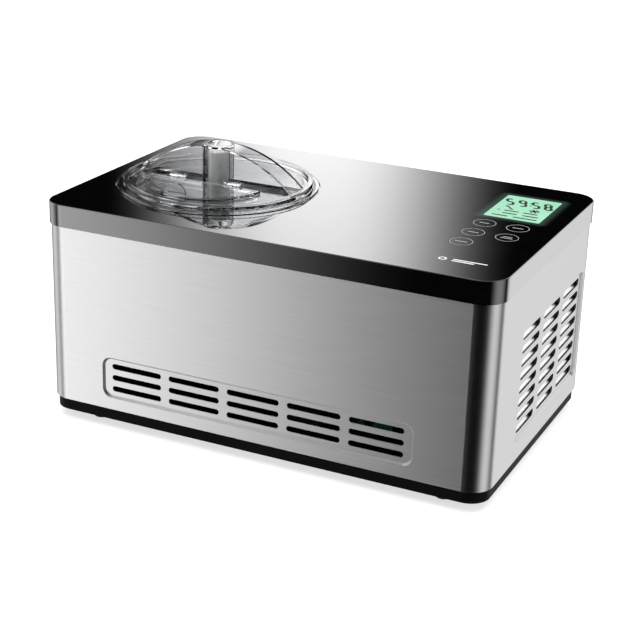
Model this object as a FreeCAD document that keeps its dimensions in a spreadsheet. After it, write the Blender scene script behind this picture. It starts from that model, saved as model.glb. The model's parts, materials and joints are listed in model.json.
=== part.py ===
"""Compressor ice cream maker: a steel housing, a lidded bowl with its stirrer and drive, and a cooling unit.

Millimetres, +Z up, front face towards -Y, origin on the floor under the middle of the housing.
Every driving dimension is a cell of the sheet "d"; primitives and sketches are bound to those cells.
"""
import FreeCAD, Part
import math
import os
import re
from FreeCAD import Placement, Rotation, Vector

doc = FreeCAD.newDocument("ice_cream_maker")
sheet = doc.addObject("Spreadsheet::Sheet", "d")

DIMENSIONS = [
    # housing
    ("body_w", 425.0), ("body_d", 272.0), ("foot_h", 9.0), ("base_h", 11.0), ("body_h", 164.0),
              ("cap_h", 20.0),
    ("corner_r", 22.0), ("wrap_inset", 1.5), ("base_inset", 3.5), ("steel", 1.0), ("cap_wall", 2.5),
    ("cap_top", 3.0), ("cap_edge_r", 1.0), ("base_floor", 3.0), ("base_wall", 3.0), ("base_lip", 9.0),
    ("fit_gap", 0.3), ("rear_frame", 36.0), ("rear_lap", 12.0),
    ("foot_r", 8.0), ("foot_x", 168.0), ("foot_y", 112.0), ("foot_screw_r", 2.0), ("foot_screw_l", 10.0),
    # stamped vents
    ("dish_depth", 2.0), ("dish_taper", 45.0), ("slot_h", 5.2),
    ("front_w", 299.0), ("front_h", 39.0), ("front_x", -2.5), ("front_z", 50.5), ("front_r", 9.0),
    ("front_slot", 50.0), ("front_cols", 5), ("front_pitch", 57.7), ("front_rows", 3), ("front_row", 10.7),
    ("side_w", 175.0), ("side_h", 104.0), ("side_y", 23.5), ("side_z", 89.0), ("side_r", 9.0),
    ("side_slot", 46.0), ("side_cols", 3), ("side_pitch", 56.0), ("side_rows", 8), ("side_row", 12.2),
    ("side_slot_h", 7.0), ("louvre_deep", 4.8), ("louvre_gap", 0.7), ("louvre_drop", 3.9), ("louvre_t", 1.0),
    ("rail_w", 5.0),
    ("rear_cols", 4), ("rear_pitch", 56.0), ("rear_rows", 5), ("rear_row", 12.2), ("rear_z", 110.0),
    # control panel
    ("lcd_x", 164.0), ("lcd_y", 62.0), ("lcd_w", 51.0), ("lcd_l", 69.0), ("lcd_r", 2.0), ("window_h", 1.6),
    ("key_r", 10.2), ("key_gap", 0.35), ("key_h", 1.8), ("key_stem_r", 2.4), ("key_travel", 0.4),
    ("key_left", 148.0), ("key_right", 178.0), ("key_y", 5.5), ("key_pitch", 28.8),
    ("board_drop", 12.0), ("board_h", 1.6), ("switch_h", 3.2), ("switch_w", 6.0), ("board_screw_r", 1.2),
    # bowl, well and lid, all about one axis
    ("bowl_x", -104.0), ("bowl_y", -9.0), ("bowl_r", 68.0), ("bowl_wall", 1.5), ("bowl_depth", 126.0),
    ("bowl_flange_r", 78.5), ("liner_gap", 1.0), ("floor_gap", 0.4), ("liner_wall", 1.2),
              ("liner_flange_r", 79.0),
    ("mouth_r", 80.0), ("mouth_drop", 14.0), ("lip_h", 2.8), ("recess_r", 93.0), ("recess_h", 1.2),
    ("coil_r", 4.0), ("coil_pitch", 15.0), ("coil_turns", 7), ("foam_r", 98.0), ("foam_floor", 11.0),
    ("lid_r", 91.5), ("lid_flange", 2.2), ("seal_h", 0.8), ("rim_r", 86.0), ("rim_h", 6.5), ("rim_w", 4.0),
    ("deck_h", 3.5), ("deck_wall", 2.4), ("skirt_r", 78.0), ("skirt_wall", 2.0), ("skirt_h", 8.0),
    ("fin_span", 81.0), ("fin_rise", 34.0), ("fin_foot", 4.0), ("fin_w", 25.0), ("fin_wall", 2.0),
    ("tube_r", 14.3), ("tube_wall", 2.0), ("tube_drop", 22.0),
    ("hatch_r", 57.0), ("hatch_x", -5.0), ("hatch_y", -12.0), ("hatch_back", -17.5), ("hatch_lap", 3.5),
    ("hatch_wall", 2.0), ("collar_h", 7.0), ("flap_h", 2.0), ("flap_gap", 0.4), ("plug_h", 2.6),
    ("tab_r", 10.5), ("tab_x", -11.0), ("tab_y", -60.0), ("tab_w", 2.4), ("pin_r", 0.9), ("pin_l", 9.0),
    ("knuckle_r", 2.4), ("knuckle_l", 8.0), ("knuckle_x", 32.0), ("run_gap", 0.06),
    # stirrer and drive
    ("hub_r", 15.0), ("hub_sleeve", 11.2), ("spigot_r", 8.0), ("spigot_wall", 2.2), ("spigot_h", 48.0),
    ("stem_r", 9.5), ("stem_up", 33.0), ("blade_gap", 2.5), ("blade_w", 5.0), ("blade_h", 104.0),
              ("arm_h", 8.0),
    ("shaft_r", 5.0), ("square", 7.0), ("square_h", 14.0), ("bush_r", 9.0), ("seal_r", 8.0),
    ("out_module", 1.25), ("out_teeth", 56), ("mid_pinion", 14), ("in_module", 1.0), ("mid_teeth", 60),
    ("motor_pinion", 12), ("out_face", 8.0), ("mid_face", 6.0), ("backlash", 0.12), ("mid_turn", 90.0),
    ("motor_turn", 25.0), ("motor_r", 25.0), ("motor_h", 21.0), ("pin_shaft_r", 2.5), ("frame_low", 22.0),
    ("frame_sheet", 2.0), ("out_level", 4.0), ("mid_level", 15.0), ("frame_gap", 22.0),
              ("chassis_sheet", 2.5),
    # cooling unit
    ("comp_x", 60.0), ("comp_y", 62.0), ("comp_r", 51.0), ("comp_h", 118.0), ("comp_lift", 12.0),
    ("comp_round", 24.0), ("comp_foot_r", 62.0), ("grommet_r", 8.0), ("grommet_h", 9.0),
    ("cond_x", 172.0), ("cond_t", 24.0), ("cond_w", 104.0), ("cond_h", 104.0), ("cond_y", 25.0),
              ("cond_z", 92.0),
    ("fins", 18), ("fin_sheet", 1.0), ("fan_x", 158.0), ("fan_r", 42.0), ("fan_hub", 15.0), ("fan_t", 14.0),
    ("fan_blades", 7), ("shroud_w", 104.0), ("shroud_t", 22.0), ("shroud_wall", 3.0), ("pipe_r", 3.0),
    ("drier_r", 9.0), ("drier_l", 70.0),
    ("power_x", 66.0), ("power_y", -100.0), ("power_w", 96.0), ("power_h", 62.0),
    ("gland_x", 120.0), ("gland_z", 46.0), ("gland_r", 9.0), ("gland_bore", 4.0), ("gland_l", 16.0),
]


class Values:
    """The sheet's numbers as attributes, for the shapes that are made in code."""


v = Values()
ALIASES = {name for name, number in DIMENSIONS}
for row, (name, number) in enumerate(DIMENSIONS, start=1):
    sheet.set(f"A{row}", name)
    sheet.set(f"B{row}", str(number))
    sheet.setAlias(f"B{row}", name)
doc.recompute()
for name in ALIASES:
    setattr(v, name, float(sheet.get(name)))

# Heights and radii that several pieces share, as expressions in the sheet's words and as numbers.
Z_BODY = "(foot_h + base_h)"
Z_CAP = "(foot_h + base_h + body_h)"
Z_TOP = "(foot_h + base_h + body_h + cap_h)"
Z_MOUTH = f"({Z_TOP} - mouth_drop)"
Z_BOWL = f"({Z_MOUTH} - bowl_depth)"
Z_LINER = f"({Z_BOWL} - bowl_wall - floor_gap - liner_wall)"
LINER_IN = "(bowl_r + bowl_wall + liner_gap)"
LINER_OUT = f"({LINER_IN} + liner_wall)"
Z_FLOOR = "(foot_h + base_floor)"
Z_CHASSIS = "(frame_low + frame_sheet + frame_gap + frame_sheet)"
top = v.foot_h + v.base_h + v.body_h + v.cap_h
floor = v.foot_h + v.base_floor
mouth = top - v.mouth_drop
bowl_floor = mouth - v.bowl_depth
liner_floor = bowl_floor - v.bowl_wall - v.floor_gap - v.liner_wall
liner_out = v.bowl_r + v.bowl_wall + v.liner_gap + v.liner_wall
chassis = v.frame_low + 2 * v.frame_sheet + v.frame_gap
axis = Vector(v.bowl_x, v.bowl_y, 0)
along_x = Vector(1, 0, 0)
along_y = Vector(0, 1, 0)
BASE_POSTS = ((-186, -60), (-186, 44), (-16, -60), (-16, 44))
GEAR_POSTS = ((-152, -22), (-60, -26), (-146, 62), (-34, 40))
BUMP_STARTS = (-126, -10, 92)
REAR_SCREW_LEVELS = (34, 100, 170)
NODES = {}


def bound(text):
    """An expression in the sheet's words, with each word made a reference to its cell."""
    return re.sub(r"[a-z_]+", lambda w: "d." + w.group() if w.group() in ALIASES else w.group(), str(text))


def bind(obj, **cells):
    for prop, text in cells.items():
        obj.setExpression(prop.replace("__", "."), bound(text))
    return obj


def put(obj, x, y, z):
    return bind(obj, Placement__Base__x=x, Placement__Base__y=y, Placement__Base__z=z)


def box(x, y, z, length, width, height):
    """A box from its lowest corner."""
    made = doc.addObject("Part::Box", "box")
    bind(made, Length=length, Width=width, Height=height)
    return put(made, x, y, z)


def rod(x, y, z, radius, height, along="z"):
    """A cylinder that starts at a point and runs along an axis."""
    made = doc.addObject("Part::Cylinder", "rod")
    turn = {"z": Rotation(), "x": Rotation(Vector(0, 1, 0), 90), "y": Rotation(Vector(1, 0, 0), -90)}[along]
    made.Placement = Placement(Vector(), turn)
    bind(made, Radius=radius, Height=height)
    return put(made, x, y, z)


def torus(x, y, z, radius, section):
    made = doc.addObject("Part::Torus", "ring")
    bind(made, Radius1=radius, Radius2=section)
    return put(made, x, y, z)


def fuse(*shapes):
    made = doc.addObject("Part::MultiFuse", "fuse")
    made.Shapes = list(shapes)
    return made


def cut(base, *tools):
    made = doc.addObject("Part::Cut", "cut")
    made.Base = base
    made.Tool = tools[0] if len(tools) == 1 else fuse(*tools)
    return made


def common(*shapes):
    made = doc.addObject("Part::MultiCommon", "common")
    made.Shapes = list(shapes)
    return made


def solid(shape):
    """A shape made in code, as an object of the document."""
    made = doc.addObject("Part::Feature", "solid")
    made.Shape = shape
    return made


def node(name, obj):
    """Names a finished piece: its label is its file's name."""
    obj.Label = name
    NODES[name] = obj
    return obj


def plane(body, role):
    return next(f for f in body.Origin.OriginFeatures if f.Role == role)


def sketch_on(body, role, offset):
    """A sketch on one of its body's planes, moved along the plane's normal by an expression."""
    made = body.newObject("Sketcher::SketchObject", "outline")
    made.AttachmentSupport = [(plane(body, role), "")]
    made.MapMode = "FlatFace"
    made.setExpression("AttachmentOffset.Base.z", bound(offset))
    return made


def name_size(sketch, constraint, name, text):
    index = sketch.addConstraint(constraint)
    sketch.renameConstraint(index, name)
    sketch.setExpression("Constraints." + name, bound(text))


def draw_slot(sketch, x, y, length, height, texts):
    """A round-ended slot whose centre, length and height follow the given expressions."""
    import Sketcher
    r, half = height / 2, (length - height) / 2
    normal = Vector(0, 0, 1)
    sketch.addGeometry([
        Part.LineSegment(Vector(x - half, y + r, 0), Vector(x + half, y + r, 0)),
        Part.ArcOfCircle(Part.Circle(Vector(x + half, y, 0), normal, r), -math.pi / 2, math.pi / 2),
        Part.LineSegment(Vector(x + half, y - r, 0), Vector(x - half, y - r, 0)),
        Part.ArcOfCircle(Part.Circle(Vector(x - half, y, 0), normal, r), math.pi / 2, 3 * math.pi / 2),
    ], False)
    c = Sketcher.Constraint
    for ends in ((0, 2, 1, 2), (1, 1, 2, 1), (2, 2, 3, 2), (3, 1, 0, 1)):
        sketch.addConstraint(c("Tangent", *ends))
    sketch.addConstraint(c("Horizontal", 0))
    sketch.addConstraint(c("Equal", 1, 3))
    name_size(sketch, c("Radius", 1, r), "end_r", f"({texts[3]}) / 2")
    name_size(sketch, c("DistanceX", 3, 3, 1, 3, 2 * half), "run", f"({texts[2]}) - ({texts[3]})")
    name_size(sketch, c("DistanceX", -1, 1, 1, 3, x + half), "right",
              f"({texts[0]}) + (({texts[2]}) - ({texts[3]})) / 2")
    name_size(sketch, c("DistanceY", -1, 1, 1, 3, y), "level", texts[1])


def draw_panel(sketch, x, y, w, h, r, texts):
    """A round-cornered rectangle: its centre, width, height and corner radius follow the expressions."""
    import Sketcher
    normal = Vector(0, 0, 1)
    a, b = w / 2, h / 2
    arcs = []
    for quarter, (side, end) in enumerate(((1, 1), (-1, 1), (-1, -1), (1, -1))):
        circle = Part.Circle(Vector(x + side * (a - r), y + end * (b - r), 0), normal, r)
        start = quarter * math.pi / 2
        arcs.append(Part.ArcOfCircle(circle, start, start + math.pi / 2))
        sketch.addGeometry(arcs[-1], False)
    for arc, following in zip(arcs, arcs[1:] + arcs[:1]):
        sketch.addGeometry(Part.LineSegment(arc.EndPoint, following.StartPoint), False)
    c = Sketcher.Constraint
    for i in range(4):
        sketch.addConstraint(c("Tangent", i, 2, 4 + i, 1))
        sketch.addConstraint(c("Tangent", 4 + i, 2, (i + 1) % 4, 1))
    for line, way in ((4, "Horizontal"), (5, "Vertical"), (6, "Horizontal"), (7, "Vertical")):
        sketch.addConstraint(c(way, line))
    for i in (1, 2, 3):
        sketch.addConstraint(c("Equal", 0, i))
    px, py, pw, ph, pr = texts
    name_size(sketch, c("Radius", 0, r), "corner", pr)
    name_size(sketch, c("DistanceX", 1, 3, 0, 3, w - 2 * r), "across", f"({pw}) - 2 * ({pr})")
    name_size(sketch, c("DistanceY", 2, 3, 1, 3, h - 2 * r), "up", f"({ph}) - 2 * ({pr})")
    name_size(sketch, c("DistanceX", -1, 1, 0, 3, x + a - r), "right", f"({px}) + ({pw}) / 2 - ({pr})")
    name_size(sketch, c("DistanceY", -1, 1, 0, 3, y + b - r), "top", f"({py}) + ({ph}) / 2 - ({pr})")


def panel_pad(role, offset, centre, size, texts, depth, taper=None):
    """A padded round-cornered panel. Texts are expressions for x, y, width, height and corner radius."""
    body = doc.addObject("PartDesign::Body", "panel")
    sketch = sketch_on(body, role, offset)
    draw_panel(sketch, *centre, *size, texts)
    pad = body.newObject("PartDesign::Pad", "pad")
    pad.Profile = sketch
    pad.setExpression("Length", bound(depth))
    if taper:
        pad.setExpression("TaperAngle", bound(taper))
    body.Tip = pad
    return body


def slot_grid(role, offset, depth, centre, size, texts, cols, pitch, rows, row_pitch):
    """Rows and columns of slots as one cutter: a padded slot and two linear patterns."""
    body = doc.addObject("PartDesign::Body", "slots")
    sketch = sketch_on(body, role, offset)
    draw_slot(sketch, *centre, *size, texts)
    pad = body.newObject("PartDesign::Pad", "pad")
    pad.Profile = sketch
    pad.setExpression("Length", bound(depth))
    doc.recompute()
    grid = body.newObject("PartDesign::MultiTransform", "grid")
    grid.Originals = [pad]
    ways = []
    for side, step, count in (("H_Axis", pitch, cols), ("V_Axis", row_pitch, rows)):
        way = body.newObject("PartDesign::LinearPattern", "way")
        way.Direction = (sketch, [side])
        way.setExpression("Length", bound(f"({step}) * ({count} - 1)"))
        way.setExpression("Occurrences", bound(count))
        ways.append(way)
    grid.Transformations = ways
    body.Tip = grid
    return body


def round_block(z, height, inset, edge=None):
    """The housing's plan outline, set in from its outside, as a block with round corners."""
    width, depth, radius = v.body_w - 2 * inset, v.body_d - 2 * inset, v.corner_r - inset
    texts = ("0", "0", f"body_w - 2 * ({edge or inset})", f"body_d - 2 * ({edge or inset})",
             f"corner_r - ({edge or inset})")
    return panel_pad("XY_Plane", z, (0, 0), (width, depth, radius), texts, height)


def gear(teeth, module, face, bore, at, level, turn):
    """A spur gear with 20 degree involute flanks drawn as short chords, thinned by the backlash."""
    pressure = math.radians(20)
    pitch = teeth * module / 2
    base, tip, root = pitch * math.cos(pressure), pitch + module, pitch - 1.25 * module
    half = math.pi / (2 * teeth) - v.backlash / (2 * pitch)
    inv = math.tan(pressure) - pressure
    flank = []
    for k in range(5):
        r = max(base, root) + (tip - max(base, root)) * k / 4
        a = math.acos(min(1.0, base / r))
        flank.append((r, half + inv - (math.tan(a) - a)))
    points = []
    for tooth in range(int(teeth)):
        mid = math.radians(turn) + 2 * math.pi * tooth / teeth
        outline = [(root, -flank[0][1])] + [(r, -a) for r, a in flank]
        outline += [(r, a) for r, a in reversed(flank)] + [(root, flank[0][1])]
        points += [Vector(r * math.cos(mid + a), r * math.sin(mid + a), 0) for r, a in outline]
    clean = [p for i, p in enumerate(points) if (p - points[i - 1]).Length > 1e-4]
    wheel = Part.Face(Part.makePolygon(clean + clean[:1])).extrude(Vector(0, 0, face))
    wheel = wheel.cut(Part.makeCylinder(bore, face + 2, Vector(0, 0, -1)))
    wheel.translate(Vector(at.x, at.y, level))
    return wheel


def tube_along(points, radius, bend):
    """A pipe of straight runs and tangent arcs: a cylinder for each run and a turned disc for each arc."""
    path = [Vector(*p) for p in points]
    pieces, last = [], path[0]
    for before, corner, after in zip(path, path[1:], path[2:]):
        a, b = (before - corner).normalize(), (after - corner).normalize()
        half = a.getAngle(b) / 2
        reach = bend / math.tan(half)
        p, q = corner + a * reach, corner + b * reach
        centre = corner + (a + b).normalize() * (bend / math.sin(half))
        disc = Part.Face(Part.Wire([Part.makeCircle(radius, p, a)]))
        pieces.append(disc.revolve(centre, a.cross(b) * -1, 180 - math.degrees(2 * half)))
        if (p - last).Length > 0.01:
            pieces.append(Part.makeCylinder(radius, (p - last).Length, last, p - last))
        last = q
    pieces.append(Part.makeCylinder(radius, (path[-1] - last).Length, last, path[-1] - last))
    return pieces[0].fuse(pieces[1:]).removeSplitter()


def up(height):
    return Vector(0, 0, height)


def ring(outer, inner, height, at):
    """An upright ring that stands on a point."""
    return Part.makeCylinder(outer, height, at).cut(Part.makeCylinder(inner, height, at))


def level_edges(shape, level):
    """The long edges that lie at a level."""
    flat = [e for e in shape.Edges if max(abs(e.BoundBox.ZMin - level), abs(e.BoundBox.ZMax - level)) < 1e-3]
    return [e for e in flat if e.Length > 20]


def screw(at, way, length, radius, head_r, head_h, slot_w=1.0):
    """A pan-head screw: its head stands on the point and its shank runs along the way."""
    back = way * -1
    head = Part.makeCylinder(head_r, head_h, at, back)
    crown = [e for e in head.Edges if e.Length > 1 and (e.CenterOfMass - at).dot(back) > head_h * 0.9]
    head = head.makeFillet(head_h * 0.4, crown)
    shank = Part.makeCylinder(radius, length, at, way)
    side = Vector(0, 0, 1) if abs(way.z) < 0.5 else Vector(1, 0, 0)
    across = back.cross(side)
    cross = None
    for u, w in ((side, across), (across, side)):
        start = at + back * (head_h * 0.5) - u * (head_r * 0.6) - w * (slot_w / 2)
        far = start + u * head_r * 1.2
        bar = Part.Face(Part.makePolygon([start, far, far + w * slot_w, start + w * slot_w, start]))
        bar = bar.extrude(back * head_h)
        cross = bar if cross is None else cross.fuse(bar)
    return head.fuse(shank).cut(cross).removeSplitter()


def group(shapes):
    return solid(Part.makeCompound(shapes))


# ---------------------------------------------------------------- housing


def make_base():
    outer = round_block("foot_h", "base_h", v.base_inset, "base_inset")
    hollow = round_block("foot_h + base_floor", "base_h", v.base_inset + v.base_wall,
                         "base_inset + base_wall")
    lip_out = round_block("foot_h + base_floor", "base_h + base_lip", v.wrap_inset + v.steel + v.fit_gap + 2,
                          "wrap_inset + steel + fit_gap + 2")
    lip_in = round_block("foot_h", "base_h + base_lip + 10", v.base_inset + v.base_wall + 2,
                         "base_inset + base_wall + 2")
    tray = cut(outer, hollow)
    lip = cut(lip_out, lip_in)
    posts = []
    for x, y in ((-1, -1), (-1, 1), (1, -1), (1, 1)):
        posts.append(rod(f"{x} * foot_x", f"{y} * foot_y", Z_FLOOR, "foot_r - 1", "7"))
    for x, y in BASE_POSTS:
        posts.append(rod(str(x), str(y), Z_FLOOR, "5", f"{Z_CHASSIS} - {Z_FLOOR}"))
    for x, y in GEAR_POSTS:
        posts.append(rod(str(x), str(y), Z_FLOOR, "4", f"frame_low - {Z_FLOOR}"))
    holes = [rod(f"{x} * foot_x", f"{y} * foot_y", "foot_h - 1", "foot_screw_r + 0.05", "foot_screw_l + 1")
             for x in (-1, 1) for y in (-1, 1)]
    bumps = []
    for y in ("-body_d / 2 + base_inset + 9", "body_d / 2 - base_inset - 15"):
        bumps += [box(str(x), y, "foot_h - 1.6", "26", "6", "1.7") for x in BUMP_STARTS]
    node("base_tray", cut(fuse(tray, lip, *posts, *bumps), *holes))


def make_feet():
    feet, screws = [], []
    for x in (-1, 1):
        for y in (-1, 1):
            at = Vector(x * v.foot_x, y * v.foot_y, 0)
            foot = Part.makeCone(v.foot_r - 1, v.foot_r, v.foot_h, at)
            foot = foot.makeFillet(1.2,
                                   [e for e in foot.Edges if abs(e.CenterOfMass.z) < 0.01 and e.Length > 20])
            foot = foot.cut(Part.makeCylinder(4.2, 3.5, at - up(0.5)))
            foot = foot.cut(Part.makeCylinder(v.foot_screw_r + 0.05, v.foot_h + 1, at))
            feet.append(foot)
            screws.append(screw(at + up(3), up(1), v.foot_screw_l + v.foot_h - 6,
                                v.foot_screw_r, 3.8, 1.8))
    node("rubber_feet", group(feet))
    node("foot_screws", group(screws))


def side_slots(offset, depth):
    return slot_grid("YZ_Plane", offset, depth,
                     (v.side_y - v.side_pitch * (v.side_cols - 1) / 2,
                      v.side_z - v.side_row * (v.side_rows - 1) / 2),
                     (v.side_slot, v.side_slot_h),
                     ("side_y - side_pitch * (side_cols - 1) / 2", "side_z - side_row * (side_rows - 1) / 2",
                      "side_slot", "side_slot_h"), "side_cols", "side_pitch", "side_rows", "side_row")


def make_wrap():
    """Folded steel sheet: front and both sides, with returns at the back, and a stamped vent in each face."""
    outer = round_block(Z_BODY, "body_h", v.wrap_inset, "wrap_inset")
    inner = round_block(f"{Z_BODY} - 5", "body_h + 10", v.wrap_inset + v.steel, "wrap_inset + steel")
    rear = box("-body_w / 2 + rear_frame", "body_d / 2 - 30", f"{Z_BODY} - 1", "body_w - 2 * rear_frame",
               "40", "body_h + 10")
    front_texts = ("front_x", "front_z", "front_w", "front_h", "front_r")
    front_size = ((v.front_x, v.front_z), (v.front_w, v.front_h, v.front_r), front_texts)
    side_texts = ("side_y", "side_z", "side_w", "side_h", "side_r")
    side_size = ((v.side_y, v.side_z), (v.side_w, v.side_h, v.side_r), side_texts)
    face_y, face_x = "body_d / 2 - wrap_inset", "body_w / 2 - wrap_inset"
    dishes_in, dishes_out, slots = [], [], []
    for made, sink in ((dishes_in, " - steel"), (dishes_out, "")):
        body = panel_pad("XZ_Plane", f"{face_y}{sink}", *front_size, "dish_depth", "-dish_taper")
        body.Tip.Reversed = True
        made.append(body)
        body = panel_pad("YZ_Plane", f"{face_x}{sink}", *side_size, "dish_depth", "-dish_taper")
        body.Tip.Reversed = True
        made.append(body)
        made.append(panel_pad("YZ_Plane", f"-({face_x}{sink})", *side_size, "dish_depth", "-dish_taper"))
    slots.append(slot_grid("XZ_Plane", f"{face_y} - 12", "14",
                           (v.front_x - v.front_pitch * (v.front_cols - 1) / 2,
                            v.front_z - v.front_row * (v.front_rows - 1) / 2),
                           (v.front_slot, v.slot_h),
                           ("front_x - front_pitch * (front_cols - 1) / 2",
                            "front_z - front_row * (front_rows - 1) / 2",
                            "front_slot", "slot_h"), "front_cols", "front_pitch", "front_rows", "front_row"))
    slots.append(side_slots(f"{face_x} - 12", "14"))
    slots.append(side_slots(f"-({face_x}) - 2", "14"))
    shell = cut(outer, inner)
    holes = [rod(str(x), "body_d / 2 - 8", str(z), "1.6", "10", "y") for x, z in rear_screw_places()]
    node("steel_wrap", cut(cut(fuse(shell, *dishes_in), *dishes_out), rear, *slots, *holes))


def make_louvres():
    """Slanted blades behind each side vent, one to a row, with rails that stand against the dished sheet."""
    outer = v.body_w / 2 - v.wrap_inset - v.dish_depth - v.steel
    length = (v.side_cols - 1) * v.side_pitch + v.side_slot + 2 * v.rail_w
    start = v.side_y - length / 2
    rows = [v.side_z + (i - (v.side_rows - 1) / 2) * v.side_row for i in range(int(v.side_rows))]
    low, high = rows[0] - v.side_row * 0.6, rows[-1] + v.side_row * 0.6
    pieces = []
    for side in (-1, 1):
        edge = side * (outer - v.louvre_gap)
        back = edge - side * v.louvre_deep
        blades = []
        for row in rows:
            z = row - v.louvre_drop - v.louvre_deep / 2
            corners = [(edge, z), (back, z + v.louvre_deep), (back, z + v.louvre_deep + v.louvre_t),
                       (edge, z + v.louvre_t)]
            outline = Part.makePolygon([Vector(x, start, h) for x, h in corners + corners[:1]])
            blades.append(Part.Face(outline).extrude(Vector(0, length, 0)))
        rails = []
        for i in range(int(v.side_cols) + 1):
            middle = v.side_y + (i - v.side_cols / 2) * v.side_pitch
            rail = Part.makeBox(v.louvre_deep + v.louvre_gap, v.rail_w, high - low)
            rail.translate(Vector(min(back, side * outer), middle - v.rail_w / 2, low))
            rails.append(rail)
        pieces.append(rails[0].fuse(rails[1:] + blades).removeSplitter())
    node("side_louvres", group(pieces))


def rear_screw_places():
    side = v.body_w / 2 - v.rear_frame + 5
    return [(x, z) for x in (-side, side) for z in REAR_SCREW_LEVELS]


def make_rear():
    """Flat rear panel inside the wrap's returns, with its vent slots and the cord gland."""
    y = "body_d / 2 - wrap_inset - 2 * steel"
    sheet_box = box("-body_w / 2 + rear_frame - rear_lap", y, f"{Z_BODY} + 1",
                    "body_w - 2 * rear_frame + 2 * rear_lap", "steel", "body_h - 2")
    texts = ("-rear_pitch * (rear_cols - 1) / 2", "rear_z - rear_row * (rear_rows - 1) / 2", "side_slot",
             "slot_h")
    slots = slot_grid("XZ_Plane", "-body_d / 2", "20",
                      (-v.rear_pitch * (v.rear_cols - 1) / 2, v.rear_z - v.rear_row * (v.rear_rows - 1) / 2),
                      (v.side_slot, v.slot_h), texts, "rear_cols", "rear_pitch", "rear_rows", "rear_row")
    holes = [rod(str(x), "body_d / 2 - 10", str(z), "1.6", "12", "y") for x, z in rear_screw_places()]
    hole = rod("gland_x", "body_d / 2 - 10", "gland_z", "gland_r - 2.9", "12", "y")
    node("rear_panel", cut(sheet_box, slots, hole, *holes))
    face = v.body_d / 2 - v.wrap_inset
    screws = [screw(Vector(x, face, z), Vector(0, -1, 0), 7, 1.5, 3.0, 1.2, 0.8) for x,
              z in rear_screw_places()]
    node("rear_screws", group(screws))
    inside = face - 2 * v.steel
    at = Vector(v.gland_x, 0, v.gland_z)
    gland = Part.makeCylinder(v.gland_r - 3, v.gland_l, at + Vector(0, inside - v.gland_l + 2.5, 0),
                              along_y)
    nut = Part.makeCylinder(v.gland_r, 4, at + Vector(0, inside - 4, 0), along_y)
    collar = Part.makeCylinder(v.gland_r, 2.0, at + Vector(0, inside + v.steel, 0), along_y)
    bore = Part.makeCylinder(v.gland_bore, 40, at + Vector(0, inside - 25, 0), along_y)
    node("cord_gland", solid(gland.fuse([nut, collar]).cut(bore).removeSplitter()))


def make_cover():
    """Top moulding: plate and skirt in one, with the well's mouth, the display window and the key holes."""
    outer = round_block(Z_CAP, "cap_h", 0, "0")
    pad = outer.Tip
    doc.recompute()
    rim = [f"Edge{i + 1}" for i, e in enumerate(pad.Shape.Edges)
           if abs(e.BoundBox.ZMin - top) < 1e-3 and abs(e.BoundBox.ZMax - top) < 1e-3]
    edge = outer.newObject("PartDesign::Fillet", "edge")
    edge.Base = (pad, rim)
    edge.setExpression("Radius", "d.cap_edge_r")
    outer.Tip = edge
    hollow = round_block(f"{Z_CAP} - 1", "cap_h + 1 - cap_top", v.cap_wall, "cap_wall")
    lcd = panel_pad("XY_Plane", f"{Z_TOP} - 20", (v.lcd_x, v.lcd_y), (v.lcd_w, v.lcd_l, v.lcd_r),
                    ("lcd_x", "lcd_y", "lcd_w", "lcd_l", "lcd_r"), "30")
    collar = cut(rod("bowl_x", "bowl_y", f"{Z_MOUTH} - lip_h - liner_wall", "mouth_r + 2.5",
                     "mouth_drop + lip_h + liner_wall - 1"),
                 rod("bowl_x", "bowl_y", f"{Z_MOUTH} - 20", f"{LINER_OUT} + 1", "60"))
    recess = rod("bowl_x", "bowl_y", f"{Z_TOP} - recess_h", "recess_r", "10")
    mouth_hole = rod("bowl_x", "bowl_y", f"{Z_MOUTH} - liner_wall", "mouth_r", "40")
    keys = [rod(x, y, f"{Z_TOP} - 20", "key_r + key_gap", "30") for x, y in key_places()]
    bosses = [rod(x, y, f"{Z_TOP} - board_drop", "4", "board_drop - 1") for x, y in board_corners()]
    pilots = [rod(x, y, f"{Z_TOP} - board_drop - 1", "board_screw_r + 0.05", "6") for x, y in board_corners()]
    node("top_cover", cut(fuse(cut(outer, hollow), collar, *bosses), recess, mouth_hole, lcd, *keys, *pilots))


def key_places():
    rows = [f"key_y - {i} * key_pitch" for i in range(3)]
    return [("key_left", row) for row in rows] + [("key_right", row) for row in rows[:2]]


def board_corners():
    return [(f"lcd_x {x}", y) for y in ("lcd_y + 40", "-78") for x in ("- 32", "+ 33")]


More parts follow.
